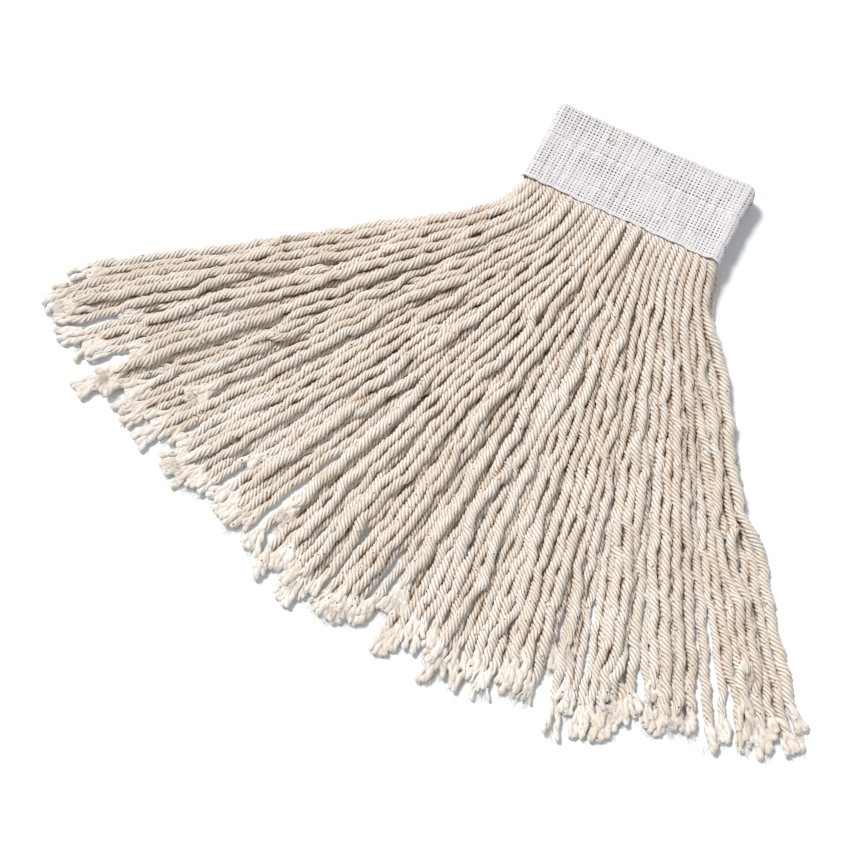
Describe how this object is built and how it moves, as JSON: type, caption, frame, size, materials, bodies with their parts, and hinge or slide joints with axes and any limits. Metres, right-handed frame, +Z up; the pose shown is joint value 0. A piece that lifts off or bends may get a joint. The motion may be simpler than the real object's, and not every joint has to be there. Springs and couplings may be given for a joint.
{
  "type": "string mop head",
  "caption": "Cut-end cotton string mop head: yarn ends fanned out below a folded, stitched mesh headband that takes a mop handle's clamp.",
  "frame": {"origin": "centre of the flat strip between the two seams on the underside of the headband, where the head lies on a surface", "axes": "+X along the headband, to the right as seen with the yarn ends nearest; the yarn ends fan out towards -Y and the fold is at +Y; +Z up from the surface"},
  "size_m": [0.6191, 0.4255, 0.023],
  "materials": {
    "cotton_yarn": "matt, unbleached, twisted cotton yarn with seed flecks",
    "headband_mesh": "white coated open mesh tape, slight sheen",
    "seam_thread": "white polyester sewing thread"
  },
  "bodies": {
    "lower_half": {"lower_outer_mesh": "headband_mesh", "lower_inner_mesh": "headband_mesh", "lower_yarn_layer": "cotton_yarn", "lower_left_hem": "headband_mesh", "lower_right_hem": "headband_mesh", "lower_mouth_seam_outer_thread": "seam_thread", "lower_mouth_seam_inner_thread": "seam_thread", "lower_middle_seam_outer_thread": "seam_thread", "lower_middle_seam_inner_thread": "seam_thread"},
    "fold": {"fold_outer_mesh": "headband_mesh", "fold_inner_mesh": "headband_mesh", "fold_yarn_layer": "cotton_yarn", "fold_left_hem": "headband_mesh", "fold_right_hem": "headband_mesh"},
    "upper_half": {"upper_outer_mesh": "headband_mesh", "upper_inner_mesh": "headband_mesh", "upper_yarn_layer": "cotton_yarn", "upper_left_hem": "headband_mesh", "upper_right_hem": "headband_mesh", "upper_mouth_seam_outer_thread": "seam_thread", "upper_mouth_seam_inner_thread": "seam_thread", "upper_middle_seam_outer_thread": "seam_thread", "upper_middle_seam_inner_thread": "seam_thread"},
    "lower_yarn_bundle_1": {"lower_yarn_bundle_1": "cotton_yarn"},
    "lower_yarn_bundle_2": {"lower_yarn_bundle_2": "cotton_yarn"},
    "lower_yarn_bundle_3": {"lower_yarn_bundle_3": "cotton_yarn"},
    "lower_yarn_bundle_4": {"lower_yarn_bundle_4": "cotton_yarn"},
    "lower_yarn_bundle_5": {"lower_yarn_bundle_5": "cotton_yarn"},
    "lower_yarn_bundle_6": {"lower_yarn_bundle_6": "cotton_yarn"},
    "upper_yarn_bundle_1": {"upper_yarn_bundle_1": "cotton_yarn"},
    "upper_yarn_bundle_2": {"upper_yarn_bundle_2": "cotton_yarn"},
    "upper_yarn_bundle_3": {"upper_yarn_bundle_3": "cotton_yarn"},
    "upper_yarn_bundle_4": {"upper_yarn_bundle_4": "cotton_yarn"},
    "upper_yarn_bundle_5": {"upper_yarn_bundle_5": "cotton_yarn"},
    "upper_yarn_bundle_6": {"upper_yarn_bundle_6": "cotton_yarn"}
  },
  "joints": [
    {"name": "fold_opens_lower", "type": "hinge", "parent": "lower_half", "child": "fold", "pos_m": [0, 0.03475, 0.00425], "axis": [-1, 0, 0], "range_deg": [0, 90]},
    {"name": "fold_opens_upper", "type": "hinge", "parent": "fold", "child": "upper_half", "pos_m": [0, 0.03475, 0.01875], "axis": [-1, 0, 0], "range_deg": [0, 90]},
    {"name": "lower_yarn_1_swings", "type": "hinge", "parent": "lower_half", "child": "lower_yarn_bundle_1", "pos_m": [0, -0.0315, 0.00425], "axis": [1, 0, 0], "range_deg": [0, 90]},
    {"name": "lower_yarn_2_swings", "type": "hinge", "parent": "lower_half", "child": "lower_yarn_bundle_2", "pos_m": [0, -0.0315, 0.00425], "axis": [1, 0, 0], "range_deg": [0, 90]},
    {"name": "lower_yarn_3_swings", "type": "hinge", "parent": "lower_half", "child": "lower_yarn_bundle_3", "pos_m": [0, -0.0315, 0.00425], "axis": [1, 0, 0], "range_deg": [0, 90]},
    {"name": "lower_yarn_4_swings", "type": "hinge", "parent": "lower_half", "child": "lower_yarn_bundle_4", "pos_m": [0, -0.0315, 0.00425], "axis": [1, 0, 0], "range_deg": [0, 90]},
    {"name": "lower_yarn_5_swings", "type": "hinge", "parent": "lower_half", "child": "lower_yarn_bundle_5", "pos_m": [0, -0.0315, 0.00425], "axis": [1, 0, 0], "range_deg": [0, 90]},
    {"name": "lower_yarn_6_swings", "type": "hinge", "parent": "lower_half", "child": "lower_yarn_bundle_6", "pos_m": [0, -0.0315, 0.00425], "axis": [1, 0, 0], "range_deg": [0, 90]},
    {"name": "upper_yarn_1_swings", "type": "hinge", "parent": "upper_half", "child": "upper_yarn_bundle_1", "pos_m": [0, -0.0315, 0.01875], "axis": [-1, 0, 0], "range_deg": [0, 90]},
    {"name": "upper_yarn_2_swings", "type": "hinge", "parent": "upper_half", "child": "upper_yarn_bundle_2", "pos_m": [0, -0.0315, 0.01875], "axis": [-1, 0, 0], "range_deg": [0, 90]},
    {"name": "upper_yarn_3_swings", "type": "hinge", "parent": "upper_half", "child": "upper_yarn_bundle_3", "pos_m": [0, -0.0315, 0.01875], "axis": [-1, 0, 0], "range_deg": [0, 90]},
    {"name": "upper_yarn_4_swings", "type": "hinge", "parent": "upper_half", "child": "upper_yarn_bundle_4", "pos_m": [0, -0.0315, 0.01875], "axis": [-1, 0, 0], "range_deg": [0, 90]},
    {"name": "upper_yarn_5_swings", "type": "hinge", "parent": "upper_half", "child": "upper_yarn_bundle_5", "pos_m": [0, -0.0315, 0.01875], "axis": [-1, 0, 0], "range_deg": [0, 90]},
    {"name": "upper_yarn_6_swings", "type": "hinge", "parent": "upper_half", "child": "upper_yarn_bundle_6", "pos_m": [0, -0.0315, 0.01875], "axis": [-1, 0, 0], "range_deg": [0, 90]}
  ],
  "couplings": [
    {"joint": "fold_opens_upper", "follows": "fold_opens_lower", "ratio": 1}
  ]
}
